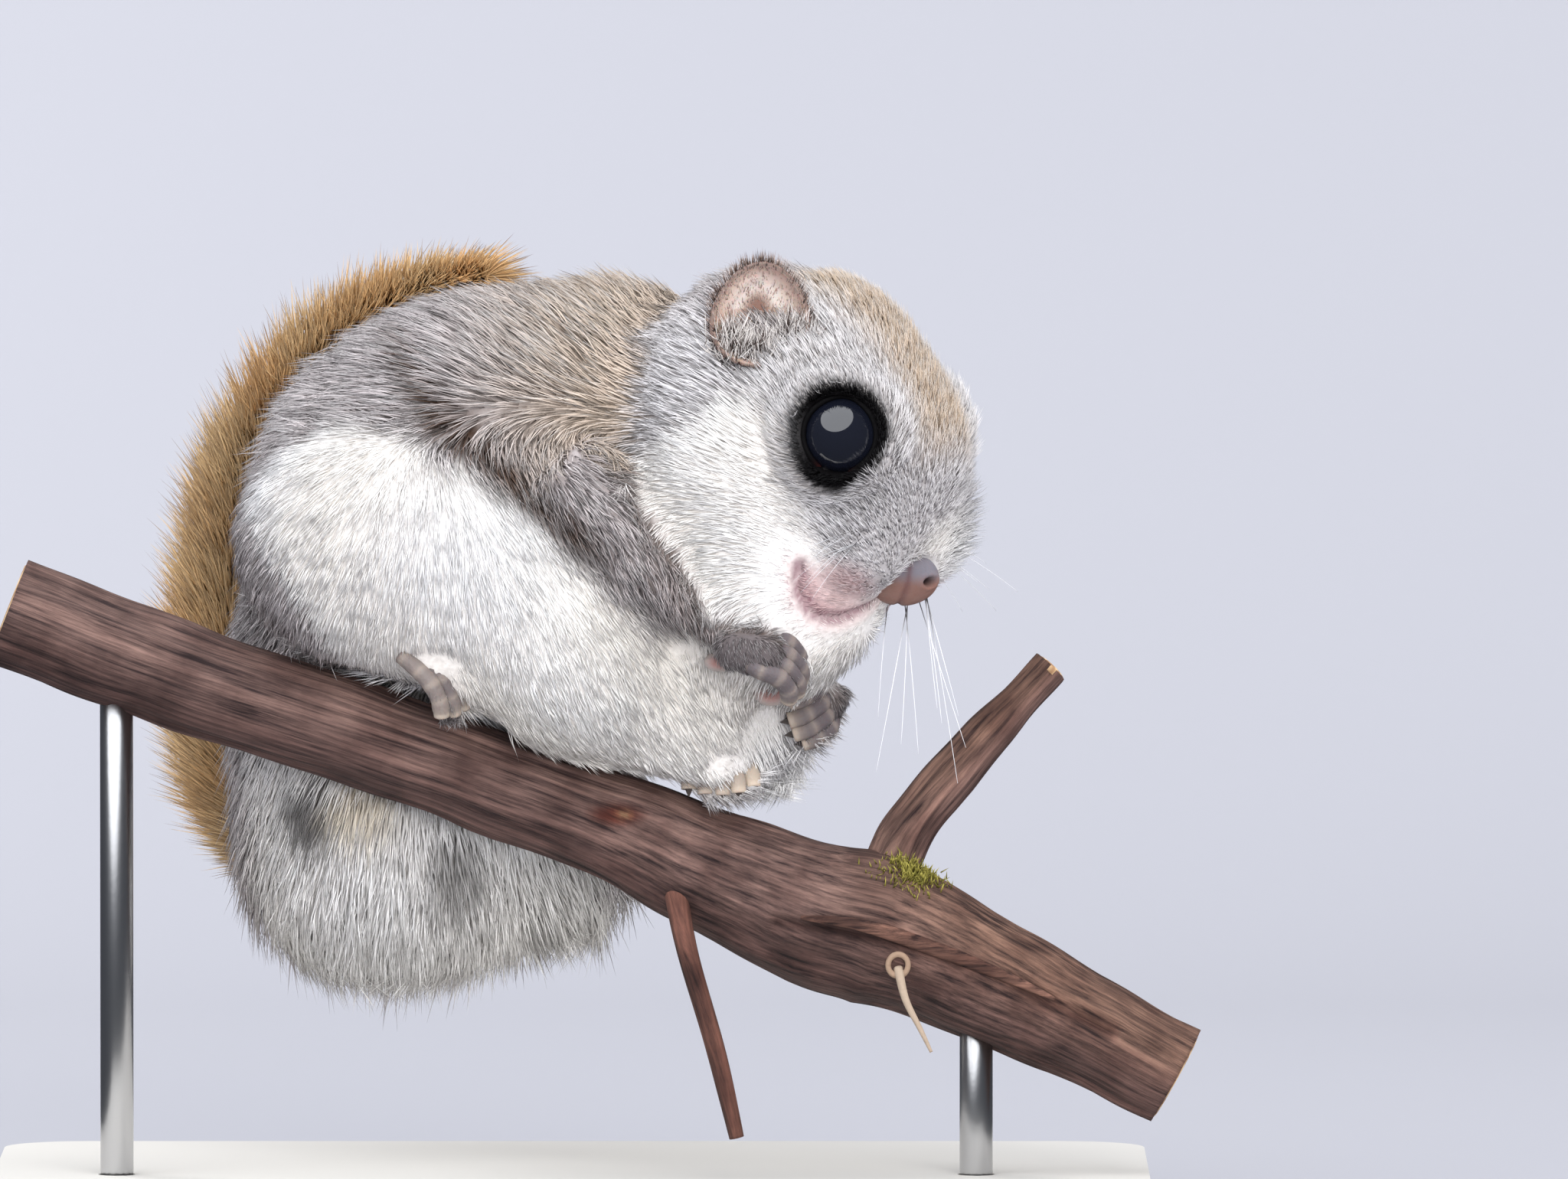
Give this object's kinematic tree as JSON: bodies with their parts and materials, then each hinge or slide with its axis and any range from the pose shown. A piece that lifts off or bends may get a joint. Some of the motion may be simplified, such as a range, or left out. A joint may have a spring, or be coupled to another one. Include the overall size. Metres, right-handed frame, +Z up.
{
  "type": "flying squirrel",
  "caption": "Life-size Siberian flying squirrel crouched on a cut length of branch, on a plain display stand.",
  "frame": {"origin": "middle of the stand base's underside", "axes": "+Z up, +X along the branch towards its lower cut end and the side the head faces, -Y towards the viewer"},
  "size_m": [0.1466, 0.0848, 0.1198],
  "materials": {
    "fur_grey": "soft silvery grey-brown fur",
    "fur_white": "soft white fur",
    "fur_tail": "soft ochre fur with dark tips",
    "nose_skin": "bare moist skin",
    "ear_skin": "thin bare skin",
    "eye": "black, glossy",
    "claw": "dark horn",
    "bark": "rough fibrous bark",
    "rod_steel": "satin",
    "stand_board": "matt off-white"
  },
  "bodies": {
    "root": {"head": "fur_grey", "nose": "nose_skin", "neck": "fur_white", "chest": "fur_grey", "rump": "fur_grey", "eye_right": "eye", "ear_right": "ear_skin", "hind_leg_right": "fur_white", "membrane_right": "fur_white", "hind_foot_right": "fur_grey", "foreleg_right": "fur_grey", "forefoot_right": "fur_grey", "eye_left": "eye", "ear_left": "ear_skin", "hind_leg_left": "fur_white", "membrane_left": "fur_white", "hind_foot_left": "fur_grey", "foreleg_left": "fur_grey", "forefoot_left": "fur_grey", "tail_base": "fur_tail", "tail_middle": "fur_tail", "tail_tip": "fur_tail", "perch_branch": "bark", "perch_twig": "bark", "perch_shoot": "bark", "stand_rod_left": "rod_steel", "stand_rod_right": "rod_steel", "stand_base": "stand_board"}
  },
  "joints": []
}
